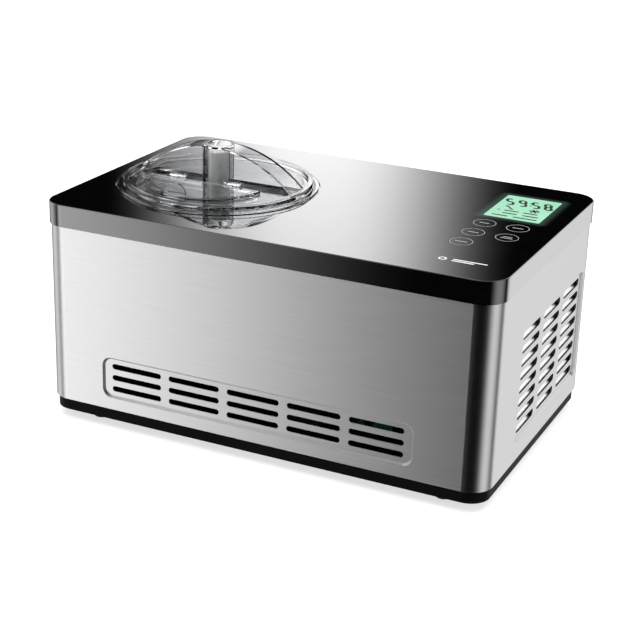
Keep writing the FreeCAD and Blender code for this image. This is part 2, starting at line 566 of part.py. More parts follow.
def make_controls():
    window = panel_pad("XY_Plane", f"{Z_TOP} - window_h", (v.lcd_x, v.lcd_y),
                       (v.lcd_w - 0.2, v.lcd_l - 0.2, v.lcd_r - 0.1),
                       ("lcd_x", "lcd_y", "lcd_w - 0.2", "lcd_l - 0.2", "lcd_r - 0.1"), "window_h")
    node("display_window", window)
    node("lcd_module", box("lcd_x - lcd_w / 2 + 0.6", "lcd_y - lcd_l / 2 + 0.6", f"{Z_TOP} - board_drop",
                           "lcd_w - 1.2", "lcd_l - 1.2", "board_drop - window_h"))
    board = box("lcd_x - 37", "-84", f"{Z_TOP} - board_drop - board_h", "75", "lcd_y + 129", "board_h")
    under = f"{Z_TOP} - board_drop - board_h - 1"
    holes = [rod(x, y, under, "board_screw_r + 0.05", "board_h + 2") for x, y in board_corners()]
    node("control_board", cut(board, *holes))
    switches = []
    names = ("key_timer", "key_menu", "key_power", "key_adjust", "key_start")
    for name, (x, y) in zip(names, key_places()):
        base = box(f"{x} - switch_w / 2", f"{y} - switch_w / 2", f"{Z_TOP} - board_drop", "switch_w",
                   "switch_w", "switch_h")
        dome = rod(x, y, f"{Z_TOP} - board_drop + switch_h", "1.6", "0.6")
        switches += [fuse(base, dome)]
        cap = rod(x, y, f"{Z_TOP} - key_h", "key_r", "key_h")
        stem = rod(x, y, f"{Z_TOP} - board_drop + switch_h + 0.6 + key_travel + 0.1", "key_stem_r",
                   "board_drop - switch_h - 0.7 - key_travel - key_h / 2")
        node(name, fuse(cap, stem))
    doc.recompute()
    node("key_switches", group([s.Shape for s in switches]))
    below = top - v.board_drop - v.board_h
    corners = [Vector(v.lcd_x + x, y, below) for y in (v.lcd_y + 40, -78) for x in (-32, 33)]
    node("board_screws", group([screw(at, up(1), 5, v.board_screw_r, 2.6, 1.4, 0.7) for at in corners]))


# ---------------------------------------------------------------- bowl, well and lid


def make_well():
    liner = fuse(rod("bowl_x", "bowl_y", Z_LINER, LINER_OUT, f"{Z_MOUTH} - {Z_LINER}"),
                 rod("bowl_x", "bowl_y", f"{Z_MOUTH} - liner_wall", "liner_flange_r", "liner_wall"))
    inside = rod("bowl_x", "bowl_y", f"{Z_LINER} + liner_wall", LINER_IN, "200")
    hole = rod("bowl_x", "bowl_y", f"{Z_LINER} - 5", "bush_r + 0.1", "20")
    node("well_liner", cut(liner, inside, hole))
    turns = [f"{Z_LINER} + 8 + {i} * coil_pitch" for i in range(int(v.coil_turns))]
    rings = [torus("bowl_x", "bowl_y", level, f"{LINER_OUT} + coil_r + 0.15", "coil_r") for level in turns]
    riser = rod(f"bowl_x + {LINER_OUT} + coil_r + 0.15", "bowl_y", f"{Z_LINER} + 8", "coil_r - 0.6",
                "coil_pitch * (coil_turns - 1)")
    node("evaporator_coil", fuse(*rings, riser))
    foam = rod("bowl_x", "bowl_y", f"{Z_CHASSIS} + chassis_sheet", "foam_r",
               f"{Z_MOUTH} - 5 - {Z_CHASSIS} - chassis_sheet")
    pocket = rod("bowl_x", "bowl_y", f"{Z_LINER} - 0.2", f"{LINER_OUT} + 2 * coil_r + 0.5", "200")
    bore = rod("bowl_x", "bowl_y", "0", "bush_r + 6.2", "200")
    port = box(f"bowl_x + {LINER_OUT} + 2 * coil_r - 2", "bowl_y - 7",
               f"{Z_LINER} + coil_pitch * (coil_turns - 1) + 1", "40", "14", "200")
    node("foam_jacket", cut(foam, pocket, bore, port))
    plate = box("bowl_x - 94", "bowl_y - 84", Z_CHASSIS, "188", "168", "chassis_sheet")
    node("chassis_plate", cut(plate, rod("bowl_x", "bowl_y", "0", "bush_r + 0.1", "200")))


def make_bowl():
    can = rod("bowl_x", "bowl_y", f"{Z_BOWL} - bowl_wall", "bowl_r + bowl_wall", "bowl_depth + bowl_wall")
    flange = rod("bowl_x", "bowl_y", Z_MOUTH, "bowl_flange_r", "bowl_wall")
    inner = rod("bowl_x", "bowl_y", Z_BOWL, "bowl_r", "bowl_depth + 40")
    spigot = rod("bowl_x", "bowl_y", f"{Z_BOWL} - bowl_wall", "spigot_r + spigot_wall",
                 "spigot_h + bowl_wall")
    bore = rod("bowl_x", "bowl_y", f"{Z_BOWL} - 20", "spigot_r", "spigot_h + 60")
    node("bowl", cut(fuse(cut(fuse(can, flange), inner), spigot), bore))


def lid_ring(radius, wall, low, height):
    return cut(rod("bowl_x", "bowl_y", low, radius, height),
               rod("bowl_x", "bowl_y", f"({low}) - 5", f"{radius} - {wall}", f"{height} + 10"))


def fin_shape(shrink, low, width):
    """The handle fin: a circular arch over a chord, as deep as its width."""
    base = top + v.fin_foot
    outer = (v.fin_span ** 2 + v.fin_rise ** 2) / (2 * v.fin_rise)
    radius = outer - shrink
    centre_z = base + v.fin_rise - outer
    side = math.sqrt(radius ** 2 - (base - centre_z) ** 2)
    y = axis.y - width / 2
    left, right = Vector(axis.x - side, y, base), Vector(axis.x + side, y, base)
    crown = Vector(axis.x, y, centre_z + radius)
    down = up(low - base)
    edges = [Part.Arc(left, crown, right).toShape(), Part.LineSegment(right, right + down).toShape(),
             Part.LineSegment(right + down, left + down).toShape(),
             Part.LineSegment(left + down, left).toShape()]
    return Part.Face(Part.Wire(edges)).extrude(Vector(0, width, 0))


def hatch_prism(radius, back, low, height):
    """The filling hole's outline: a half disc with a straight back edge along the fin."""
    centre = axis + Vector(v.hatch_x, v.hatch_y, low)
    disc = Part.makeCylinder(radius, height, centre)
    keep = Part.makeBox(4 * radius, 2 * radius, height,
                        Vector(centre.x - 2 * radius, axis.y + back - 2 * radius, low))
    return disc.common(keep)


def make_lid():
    flange = rod("bowl_x", "bowl_y", f"{Z_TOP} - recess_h + seal_h", "lid_r", "lid_flange")
    wall = rod("bowl_x", "bowl_y", f"{Z_TOP} - recess_h + seal_h", "rim_r", "rim_h + recess_h - seal_h")
    gutter = rod("bowl_x", "bowl_y", f"{Z_TOP} + deck_h", "rim_r - rim_w", "20")
    under = rod("bowl_x", "bowl_y", f"{Z_TOP} - 30", "rim_r - 2", "30 + deck_h - deck_wall")
    skirt = lid_ring("skirt_r", "skirt_wall", f"{Z_TOP} - skirt_h", "skirt_h + deck_h - 0.5")
    shell = cut(fuse(flange, wall), gutter, under)
    tube_out = rod("bowl_x", "bowl_y", f"{Z_TOP} - tube_drop", "tube_r",
                   "tube_drop + fin_foot + fin_rise + 0.6")
    tube_in = rod("bowl_x", "bowl_y", f"{Z_TOP} - tube_drop - 5", "tube_r - tube_wall",
                  "tube_drop + 5 + fin_foot + fin_rise - fin_wall")
    doc.recompute()
    deck = top + v.deck_h
    fin = fin_shape(0, deck - 1, v.fin_w)
    hollow = fin_shape(v.fin_wall, top - 10, v.fin_w - 2 * v.fin_wall)
    collar = hatch_prism(v.hatch_r - v.hatch_lap + 2, v.hatch_back + 2, deck - v.collar_h, v.collar_h - 0.5)
    hole = hatch_prism(v.hatch_r - v.hatch_lap, v.hatch_back, top - 30, 60)
    crown_cut = Part.makeCylinder(v.tube_r - 4, 5,
                                  Vector(axis.x, axis.y, top + v.fin_foot + v.fin_rise - 0.6))
    body = shell.Shape.fuse([skirt.Shape, fin, collar]).cut(hollow)
    body = body.fuse([tube_out.Shape]).cut(tube_in.Shape)
    lugs, bores = [], []
    for x in lug_starts():
        start = hinge_line() + Vector(x, 0, 0)
        lugs.append(Part.makeCylinder(v.knuckle_r, v.knuckle_l, start, along_x))
        lugs.append(Part.makeBox(v.knuckle_l, v.knuckle_r + 2, start.z - deck + 0.5,
                                 Vector(start.x, start.y - 0.6, deck - 0.5)))
        bores.append(Part.makeCylinder(v.pin_r, v.knuckle_l + 2, start - along_x, along_x))
    body = body.cut([hole, crown_cut]).fuse(lugs).cut(bores).removeSplitter()
    node("lid_body", solid(body))
    node("lid_seal", lid_ring("rim_r + 3", "2.5", f"{Z_TOP} - recess_h", "seal_h"))
    pins = []
    for x in pin_starts():
        pins.append(Part.makeCylinder(v.pin_r, v.pin_l, hinge_line() + Vector(x, 0, 0), along_x))
    node("hinge_pins", group(pins))


def hinge_line():
    """A point on the flap's hinge axis, at the middle of its back edge."""
    return Vector(axis.x + v.hatch_x, axis.y + v.hatch_back + 1.8, top + v.deck_h + v.flap_gap + v.knuckle_r)


def lug_starts():
    return (-v.knuckle_x - v.knuckle_l / 2, v.knuckle_x - v.knuckle_l / 2)


def pin_starts():
    """Each pin fills its lug and reaches into the flap's knuckle beside it."""
    inner = v.knuckle_x + v.knuckle_l / 2
    return (-inner, inner - v.pin_l - 4)


def make_flap():
    low = top + v.deck_h + v.flap_gap
    leaf = hatch_prism(v.hatch_r, v.hatch_back, low, v.flap_h)
    leaf = leaf.makeFillet(0.7, level_edges(leaf, low + v.flap_h))
    inner = v.hatch_r - v.hatch_lap - 0.6
    plug = hatch_prism(inner, v.hatch_back - 0.6, low - v.plug_h, v.plug_h + 0.5)
    back = v.hatch_back - 0.6 - v.hatch_wall
    plug = plug.cut(hatch_prism(inner - v.hatch_wall, back, low - v.plug_h - 1, v.plug_h + 1))
    tab_at = axis + Vector(v.tab_x, v.tab_y, top + v.fin_foot)
    tab = Part.makeCylinder(v.tab_r, v.tab_w, tab_at, along_y)
    tab = tab.makeFillet(0.5, tab.Edges[:1] if tab.Edges[0].Length > 30 else tab.Edges[-1:])
    tab = tab.cut(Part.makeBox(60, 20, 60, Vector(tab_at.x - 30, tab_at.y - 10, low + 0.2 - 60)))
    line = hinge_line()
    inner_end = v.knuckle_x - v.knuckle_l / 2 - 0.3
    knuckles = []
    for x in (-inner_end, inner_end - v.knuckle_l):
        start = line + Vector(x, 0, 0)
        web = Part.makeBox(v.knuckle_l, 4.5, v.flap_h, Vector(start.x, start.y - 4.5, low))
        barrel = Part.makeCylinder(v.knuckle_r - 0.2, v.knuckle_l, start, along_x)
        knuckles += [web, barrel]
    notches = []
    for x in lug_starts():
        corner = line + Vector(x - 0.3, -v.knuckle_r - 0.5, -6)
        notches.append(Part.makeBox(v.knuckle_l + 0.6, 6.4, 12, corner))
    reach = v.knuckle_x + 15
    bore = Part.makeCylinder(v.pin_r + v.run_gap, 2 * reach, line - along_x * reach, along_x)
    body = leaf.fuse([plug, tab]).cut(notches).fuse(knuckles).cut(bore).removeSplitter()
    node("lid_flap", solid(body))


# ---------------------------------------------------------------- stirrer and drive


def gear_centres():
    """Output shaft, intermediate shaft and motor shaft in plan."""
    far = v.out_module * (v.out_teeth + v.mid_pinion) / 2
    near = v.in_module * (v.mid_teeth + v.motor_pinion) / 2
    one, two = math.radians(v.mid_turn), math.radians(v.motor_turn)
    mid = axis + Vector(far * math.cos(one), far * math.sin(one), 0)
    motor = mid + Vector(near * math.cos(two), near * math.sin(two), 0)
    return axis, mid, motor


def make_paddle():
    hub_low = bowl_floor + 1.0
    hub_top = bowl_floor + v.spigot_h + v.square_h + 8
    hub = Part.makeCylinder(v.hub_r, hub_top - hub_low, axis + up(hub_low))
    stem = Part.makeCylinder(v.stem_r, top + v.stem_up - hub_top + 1, axis + up(hub_top - 1))
    stem = stem.makeFillet(2, level_edges(stem, top + v.stem_up))
    cone = Part.makeCone(v.hub_r, v.stem_r, 12, axis + up(hub_top))
    socket = Part.makeCylinder(v.hub_sleeve, bowl_floor + v.spigot_h + 0.6 - hub_low + 1,
                               axis + up(hub_low - 1))
    s = v.square + 0.3
    square = Part.makeBox(s, s, v.square_h + 1.2, axis + Vector(-s / 2, -s / 2, bowl_floor + v.spigot_h))
    body = hub.fuse([stem, cone])
    reach = v.bowl_r - v.blade_gap
    for turn in (0, 180):
        arms = []
        for level in (bowl_floor + 1.0, bowl_floor + v.blade_h - v.arm_h):
            arm = Part.makeBox(reach - 6, v.blade_w, v.arm_h, Vector(4, -v.blade_w / 2, level))
            arms.append(arm)
        blade = Part.makeBox(9, v.blade_w, v.blade_h, Vector(reach - 9, -v.blade_w / 2, bowl_floor + 1.0))
        slope = [(12, 30), (reach - 6, 62), (reach - 6, 74), (12, 44), (12, 30)]
        outline = Part.makePolygon([Vector(x, -1.5, bowl_floor + z) for x, z in slope])
        arms += [blade, Part.Face(outline).extrude(Vector(0, 3, 0))]
        for piece in arms:
            piece.rotate(Vector(), up(1), turn)
            piece.translate(axis)
        body = body.fuse(arms)
    node("stirrer", solid(body.cut([socket, square]).removeSplitter()))


def make_drive():
    out, mid, motor = gear_centres()
    low = v.frame_low + v.frame_sheet
    out_z, mid_z = low + v.out_level, low + v.mid_level
    shaft = Part.makeCylinder(v.shaft_r, bowl_floor + v.spigot_h - v.frame_low,
                              out + up(v.frame_low))
    s = v.square
    square = Part.makeBox(s, s, v.square_h, out + Vector(-s / 2, -s / 2, bowl_floor + v.spigot_h - 1))
    node("drive_shaft", solid(shaft.fuse([square]).removeSplitter()))
    big = gear(v.out_teeth, v.out_module, v.out_face, v.shaft_r, out, out_z, 90)
    boss = ring(11, v.shaft_r, v.out_face + 4, out + up(out_z - 2))
    groove = ring(28, 13, 2.5, out + up(out_z + v.out_face - 2.5))
    node("output_gear", solid(big.cut(groove).fuse([boss]).removeSplitter()))
    small_turn = v.mid_turn + 180 + 180 / v.mid_pinion
    bore = v.pin_shaft_r + v.run_gap
    pinion = gear(v.mid_pinion, v.out_module, v.mid_level - v.out_level + 1, bore, mid, out_z, small_turn)
    wheel = gear(v.mid_teeth, v.in_module, v.mid_face, bore, mid, mid_z, v.motor_turn)
    node("intermediate_gear", solid(pinion.fuse([wheel]).removeSplitter()))
    tooth = v.motor_turn + 180 + 180 / v.motor_pinion
    pinion = gear(v.motor_pinion, v.in_module, v.mid_face + 1, v.pin_shaft_r, motor, mid_z - 0.5, tooth)
    node("motor_pinion", solid(pinion))
    pin = Part.makeCylinder(v.pin_shaft_r, v.frame_gap + 2 * v.frame_sheet, mid + up(v.frame_low))
    node("intermediate_pin", solid(pin))
    span = Part.makeBox(138, 116, v.frame_sheet, Vector(-160, -36, 0))
    lower, upper = span.copy(), span.copy()
    lower.translate(up(v.frame_low))
    upper.translate(up(v.frame_low + v.frame_sheet + v.frame_gap))
    pin_hole = Part.makeCylinder(v.pin_shaft_r, top, mid)
    lower = lower.cut([Part.makeCylinder(v.shaft_r + 0.5, top, out), pin_hole,
                       Part.makeCylinder(v.motor_r + 0.1, top, motor)])
    upper = upper.cut([Part.makeCylinder(v.bush_r + 0.1, top, out), pin_hole,
                       Part.makeCylinder(6, top, motor)])
    node("gear_frame_lower", solid(lower))
    node("gear_frame_upper", solid(upper))
    spacers = [Part.makeCylinder(4, v.frame_gap, Vector(x, y, low)) for x, y in GEAR_POSTS]
    node("frame_spacers", group(spacers))
    # motor: can with its flange, winding ring, rotor and shaft
    can_low = low - v.motor_h * 0.5
    can = Part.makeCylinder(v.motor_r, v.motor_h, motor + up(can_low))
    flange = Part.makeCylinder(v.motor_r + 3.5, 1.5, motor + up(low))
    inside = Part.makeCylinder(v.motor_r - 1.5, v.motor_h - 3, motor + up(can_low + 1.5))
    hole = Part.makeCylinder(4, 60, motor + up(can_low + 5))
    node("motor_can", solid(can.fuse([flange]).cut([inside, hole]).removeSplitter()))
    winding = Part.makeCylinder(v.motor_r - 1.5, v.motor_h - 3, motor + up(can_low + 1.5))
    winding = winding.cut(Part.makeCylinder(17, 60, motor + up(can_low - 9)))
    node("motor_winding", solid(winding))
    rotor = Part.makeCylinder(16.4, v.motor_h - 6, motor + up(can_low + 3))
    spindle = Part.makeCylinder(v.pin_shaft_r, mid_z + v.mid_face + 1 - can_low - 1.8,
                                motor + up(can_low + 1.8))
    node("motor_rotor", solid(rotor.fuse([spindle]).removeSplitter()))
    # the bush and its seal carry the shaft through the floor of the well
    bush_low = chassis - v.frame_sheet
    well_floor = liner_floor + v.liner_wall
    bush = ring(v.bush_r, v.shaft_r + v.run_gap, well_floor - bush_low, axis + up(bush_low))
    node("shaft_bush", solid(bush))
    foam_base = chassis + v.chassis_sheet
    sleeve = ring(v.bush_r + 6, v.bush_r + 0.05, liner_floor - 0.2 - foam_base, axis + up(foam_base))
    node("bush_carrier", solid(sleeve))
    node("shaft_seal", solid(ring(v.seal_r - 0.6, v.shaft_r + v.run_gap, 0.9, axis + up(well_floor))))


# ---------------------------------------------------------------- cooling unit


def make_compressor():
    body = doc.addObject("PartDesign::Body", "pot")
    pot = body.newObject("PartDesign::AdditiveCylinder", "pot")
    bind(pot, Radius="comp_r", Height="comp_h")
    pot.Placement = Placement(Vector(v.comp_x, v.comp_y, floor + v.comp_lift), Rotation())
    doc.recompute()
    rounding = body.newObject("PartDesign::Fillet", "rounding")
    rounding.Base = (pot, [f"Edge{i + 1}" for i, e in enumerate(pot.Shape.Edges) if e.Length > 100])
    rounding.setExpression("Radius", "d.comp_round")
    body.Tip = rounding
    doc.recompute()
    centre = Vector(v.comp_x, v.comp_y, 0)
    z = floor + v.comp_lift
    seam = Part.makeCylinder(v.comp_r + 2, 4, centre + up(z + v.comp_h * 0.52))
    box_side = Part.makeBox(26, 16, 40, Vector(v.comp_x - 13, v.comp_y - v.comp_r - 10, z + 36))
    node("compressor", solid(body.Shape.fuse([seam, box_side]).removeSplitter()))
    half, reach = v.comp_foot_r * 0.87, v.comp_foot_r * 0.72
    plate = Part.makeBox(2 * half, 2 * half, 3, centre + Vector(-half, -half, floor + v.grommet_h))
    corners = [centre + Vector(x * reach, y * reach, 0) for x in (-1, 1) for y in (-1, 1)]
    plate = plate.cut([Part.makeCylinder(3.5, 60, c) for c in corners])
    node("compressor_plate", solid(plate))
    grommets, bolts = [], []
    for c in corners:
        grommets.append(ring(v.grommet_r, 2.6, v.grommet_h, c + up(floor)))
        bolts.append(screw(c + up(floor + v.grommet_h + 3), up(-1), v.grommet_h + 3, 2.5, 5.0, 3.0, 1.2))
    node("compressor_grommets", group(grommets))
    node("compressor_bolts", group(bolts))


def make_condenser():
    x0, y0 = v.cond_x, v.cond_y - v.cond_w / 2
    z0 = v.cond_z - v.cond_h / 2
    step = (v.cond_w - v.fin_sheet - 8) / (v.fins - 1)
    starts = [y0 + 4 + i * step for i in range(int(v.fins))]
    fins = [Part.makeBox(v.cond_t, v.fin_sheet, v.cond_h, Vector(x0, y, z0)) for y in starts]
    ends = [Part.makeBox(v.cond_t, 2, v.cond_h, Vector(x0, y, z0)) for y in (y0, y0 + v.cond_w - 2)]
    tubes, bends = [], []
    rows = [z0 + 12 + i * (v.cond_h - 24) / 5 for i in range(6)]
    for z in rows:
        tubes.append(Part.makeCylinder(v.pipe_r + 0.5, v.cond_w + 6, Vector(x0 + v.cond_t / 2, y0 - 3, z),
                                       along_y))
    for i, (a, b) in enumerate(zip(rows, rows[1:])):
        y = y0 - 3 if i % 2 else y0 + v.cond_w + 3
        half = Part.makeTorus((b - a) / 2, v.pipe_r + 0.5, Vector(x0 + v.cond_t / 2, y, (a + b) / 2),
                              along_x)
        keep = Part.makeBox(20, 20, 60, Vector(x0 + v.cond_t / 2 - 10, y - (20 if i % 2 else 0),
                                               (a + b) / 2 - 30))
        bends.append(half.common(keep))
    node("condenser", solid(fins[0].fuse(fins[1:] + ends + tubes + bends)))
    foot = Part.makeBox(v.cond_t, v.cond_w, z0 - floor, Vector(x0, y0, floor)).cut(
        Part.makeBox(v.cond_t + 2, v.cond_w - 16, z0 - floor - 4, Vector(x0 - 1, y0 + 8, floor - 2)))
    node("condenser_bracket", solid(foot))


def make_fan():
    w, x1 = v.shroud_w, v.cond_x
    x0 = x1 - v.shroud_t
    y0, z0 = v.cond_y - w / 2, v.cond_z - w / 2
    centre = Vector(x0, v.cond_y, v.cond_z)
    ring_r = v.fan_r + 2.5
    frame = Part.makeBox(v.shroud_t, w, w, Vector(x0, y0, z0))
    frame = frame.cut(Part.makeCylinder(ring_r, 80, centre - Vector(20, 0, 0), along_x))
    offsets = (3 - w / 2, w / 2 - 15)
    pockets = [Vector(x0 + 3, v.cond_y + a, v.cond_z + b) for a in offsets for b in offsets]
    frame = frame.cut([Part.makeBox(v.shroud_t - 6, 12, 12, corner) for corner in pockets])
    struts = []
    for i in range(3):
        strut = Part.makeBox(3, ring_r + 1 - v.fan_hub + 4, 5, Vector(x0, v.fan_hub - 4, -2.5))
        strut.rotate(Vector(x0, 0, 0), along_x, 90 + 120 * i)
        strut.translate(Vector(0, v.cond_y, v.cond_z))
        struts.append(strut)
    cup = Part.makeCylinder(v.fan_hub - 1, 3, centre, along_x)
    pin = Part.makeCylinder(2, 12, centre, along_x)
    node("fan_shroud", solid(frame.fuse(struts + [cup, pin]).removeSplitter()))
    hub_x = x0 + 3.6
    hub = Part.makeCylinder(v.fan_hub, v.fan_t, Vector(hub_x, v.cond_y, v.cond_z), along_x)
    hub = hub.cut(Part.makeCylinder(2 + v.run_gap, 9, Vector(hub_x - 0.1, v.cond_y, v.cond_z),
                                    along_x))
    blades = []
    for i in range(int(v.fan_blades)):
        blade = Part.makeBox(1.6, v.fan_r - v.fan_hub + 1, 17, Vector(-0.8, v.fan_hub - 1, -8.5))
        blade.rotate(Vector(), along_y, 38)
        blade.translate(Vector(hub_x + v.fan_t / 2, 0, 0))
        blade.rotate(Vector(), along_x, i * 360 / v.fan_blades)
        blade.translate(Vector(0, v.cond_y, v.cond_z))
        blades.append(blade)
    limit = Part.makeCylinder(v.fan_r, v.fan_t, Vector(hub_x, v.cond_y, v.cond_z), along_x)
    node("fan_rotor", solid(hub.fuse(blades).common(limit).removeSplitter()))


def make_plumbing():
    """Suction, discharge and liquid lines with the filter drier between condenser and well."""
    pot, coil, condenser = NODES["compressor"].Shape, NODES["evaporator_coil"].Shape, NODES["condenser"].Shape
    comp_top = floor + v.comp_lift + v.comp_h
    coil_x = v.bowl_x + liner_out + 2 * v.coil_r - 1
    coil_z = liner_floor + 8 + v.coil_pitch * (v.coil_turns - 1)
    inlet_x, outlet_x = v.comp_x - 24, v.comp_x + 24
    aisle = 18
    suction = tube_along([
        (coil_x, v.bowl_y, coil_z), (aisle, v.bowl_y, coil_z), (aisle, v.comp_y, coil_z + 3),
        (inlet_x, v.comp_y, coil_z + 3), (inlet_x, v.comp_y, comp_top - 10),
    ], v.pipe_r, 7)
    node("suction_line", solid(suction.cut([pot, coil])))
    cond_x = v.cond_x + v.cond_t / 2
    cond_low, cond_high = v.cond_z - v.cond_h / 2 + 12, v.cond_z + v.cond_h / 2 - 12
    rear_y, over = v.cond_y + v.cond_w / 2 + 3, comp_top + 16
    discharge = tube_along([
        (outlet_x, v.comp_y, comp_top - 12), (outlet_x, v.comp_y, over), (outlet_x, rear_y + 16, over),
        (cond_x, rear_y + 16, over), (cond_x, rear_y + 16, cond_high), (cond_x, rear_y - 2, cond_high),
    ], v.pipe_r, 7)
    node("discharge_line", solid(discharge.cut([pot, condenser])))
    front_y = v.cond_y - v.cond_w / 2 - 3
    drier_y, drier_end = front_y - 12, v.fan_x - 32
    drier_start = drier_end - v.drier_l
    drier = Part.makeCylinder(v.drier_r, v.drier_l, Vector(drier_start, drier_y, cond_low), along_x)
    drier = drier.makeFillet(5, [e for e in drier.Edges if e.BoundBox.XLength < 0.01])
    node("filter_drier", solid(drier))
    inlet = tube_along([
        (cond_x, front_y + 1, cond_low), (cond_x, drier_y, cond_low), (drier_end - 1, drier_y, cond_low),
    ], v.pipe_r, 7)
    node("liquid_line", solid(inlet.cut([drier, condenser])))
    over = coil_z + 12
    capillary = tube_along([
        (drier_start + 1, drier_y, cond_low), (10, drier_y, cond_low), (10, v.bowl_y - 20, liner_floor + 38),
        (10, v.bowl_y, over), (coil_x - 3, v.bowl_y, over), (coil_x - 3, v.bowl_y, coil_z + 3),
    ], 1.5, 5)
    node("capillary_tube", solid(capillary.cut([drier, coil, NODES["suction_line"].Shape])))


def make_power_board():
    """An upright board on two brackets, with a transformer, two relays, a terminal and three capacitors."""
    x0, y0 = v.power_x - v.power_w / 2, v.power_y
    z0 = floor + 6
    node("power_board", solid(Part.makeBox(v.power_w, 1.6, v.power_h, Vector(x0, y0, z0))))
    feet = [Vector(x, y0 + 1.6, floor) for x in (x0 + 4, x0 + v.power_w - 10)]
    node("board_brackets", group([Part.makeBox(6, 10, z0 - floor + 10, corner) for corner in feet]))
    parts = []
    blocks = ((34, 22, 30, 6, 8), (19, 15, 16, 46, 8), (19, 15, 16, 69, 8), (30, 9, 8, 50, 48))
    for width, deep, high, x, z in blocks:
        parts.append(Part.makeBox(width, deep, high, Vector(x0 + x, y0 - deep, z0 + z)))
    for x in (52, 66, 80):
        parts.append(Part.makeCylinder(5, 14, Vector(x0 + x, y0 - 14, z0 + 36), along_y))
    node("board_components", group(parts))


def build_all():
    make_base()
    make_feet()
    make_wrap()
    make_louvres()
    make_rear()
    make_cover()
    make_controls()
    make_well()
    make_bowl()
    make_lid()
    make_flap()
    make_paddle()
    make_drive()
    make_compressor()
    make_condenser()
    make_fan()
    doc.recompute()
    make_plumbing()
    make_power_board()
    doc.recompute()


def write_all():
    os.makedirs("parts", exist_ok=True)
    failed = [o.Label for o in doc.Objects if "Invalid" in o.State or "Error" in o.State]
    for name, obj in NODES.items():
        if obj.Shape.isNull() or not obj.Shape.isValid() or not obj.Shape.Solids:
            failed.append(name)
    if failed:
        raise SystemExit("these pieces failed: " + ", ".join(failed))
    for old in os.listdir("parts"):
        if old.endswith(".step"):
            os.remove(os.path.join("parts", old))
    for name, obj in NODES.items():
        obj.Shape.exportStep(os.path.join("parts", name + ".step"))
        print(f"{name:22s} solids {len(obj.Shape.Solids):3d}  volume {obj.Shape.Volume / 1000:9.2f} cm3")
    print(len(NODES), "nodes")


build_all()
write_all()
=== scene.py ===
"""Looks for the ice cream maker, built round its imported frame: metres, +Z up, the front face towards -Y."""
import bpy
import bmesh
import json
import math
from mathutils import Matrix, Vector


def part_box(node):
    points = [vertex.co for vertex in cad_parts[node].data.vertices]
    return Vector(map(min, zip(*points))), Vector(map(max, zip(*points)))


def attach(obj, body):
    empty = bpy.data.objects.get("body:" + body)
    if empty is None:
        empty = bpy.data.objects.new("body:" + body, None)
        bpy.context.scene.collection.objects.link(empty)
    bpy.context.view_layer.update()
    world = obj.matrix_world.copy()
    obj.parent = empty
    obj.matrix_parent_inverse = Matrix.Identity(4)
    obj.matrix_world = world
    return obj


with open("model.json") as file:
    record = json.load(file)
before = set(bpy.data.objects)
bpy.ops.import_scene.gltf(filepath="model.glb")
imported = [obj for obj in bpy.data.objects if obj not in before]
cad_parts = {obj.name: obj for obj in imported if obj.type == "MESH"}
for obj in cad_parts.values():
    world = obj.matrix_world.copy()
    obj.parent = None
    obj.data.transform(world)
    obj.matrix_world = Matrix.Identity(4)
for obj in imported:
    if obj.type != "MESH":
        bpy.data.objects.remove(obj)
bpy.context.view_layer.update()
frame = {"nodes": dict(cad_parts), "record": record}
scene = bpy.context.scene
scene.view_settings.view_transform = "Standard"

# ---------------------------------------------------------------- materials


def new_material(name):
    """A material, its node tree and its Principled shader."""
    material = bpy.data.materials.new(name)
    material.use_nodes = True
    tree = material.node_tree
    shader = next(n for n in tree.nodes if n.type == "BSDF_PRINCIPLED")
    return material, tree, shader


def add(tree, kind, values=None, **props):
    """A shader node with its properties and its sockets' values set."""
    node = tree.nodes.new(kind)
    for key, value in props.items():
        setattr(node, key, value)
    for key, value in (values or {}).items():
        node.inputs[key].default_value = value
    return node


def reckon(tree, operation, first, second):
    """A maths node; either value may be a socket or a number."""
    made = add(tree, "ShaderNodeMath", operation=operation)
    for place, value in enumerate((first, second)):
        if isinstance(value, (int, float)):
            made.inputs[place].default_value = value
        else:
            tree.links.new(value, made.inputs[place])
    return made.outputs[0]


def position(tree, scale=(1, 1, 1)):
    """Object coordinates, stretched: every node's own frame is the row frame, so these are metres."""
    place = add(tree, "ShaderNodeTexCoord")
    stretch = add(tree, "ShaderNodeMapping", {"Scale": scale})
    tree.links.new(place.outputs["Object"], stretch.inputs["Vector"])
    return stretch.outputs["Vector"]


def noise(tree, scale, detail, rough=0.5, stretch=(1, 1, 1)):
    """Smooth noise over the piece; scale is in waves per metre."""
    made = add(tree, "ShaderNodeTexNoise", {"Scale": scale, "Detail": detail, "Roughness": rough})
    tree.links.new(position(tree, stretch), made.inputs["Vector"])
    return made.outputs["Fac"]


def ramp(tree, source, stops):
    """A smooth colour ramp; each stop is a place and a colour."""
    made = add(tree, "ShaderNodeValToRGB")
    made.color_ramp.interpolation = "EASE"
    for element, (at, colour) in zip(made.color_ramp.elements, stops):
        element.position = at
        element.color = (*colour, 1)
    tree.links.new(source, made.inputs["Fac"])
    return made.outputs["Color"]


def remap(tree, source, low, high, start=0.0, end=1.0):
    """The source's run from start to end, stretched to the run from low to high and held at its ends."""
    limits = {"From Min": start, "From Max": end, "To Min": low, "To Max": high}
    made = add(tree, "ShaderNodeMapRange", limits)
    tree.links.new(source, made.inputs["Value"])
    return made.outputs["Result"]


def bump(tree, shader, source, strength, distance):
    """Shallow relief; distance is its depth in metres."""
    made = add(tree, "ShaderNodeBump", {"Strength": strength, "Distance": distance})
    tree.links.new(source, made.inputs["Height"])
    tree.links.new(made.outputs["Normal"], shader.inputs["Normal"])


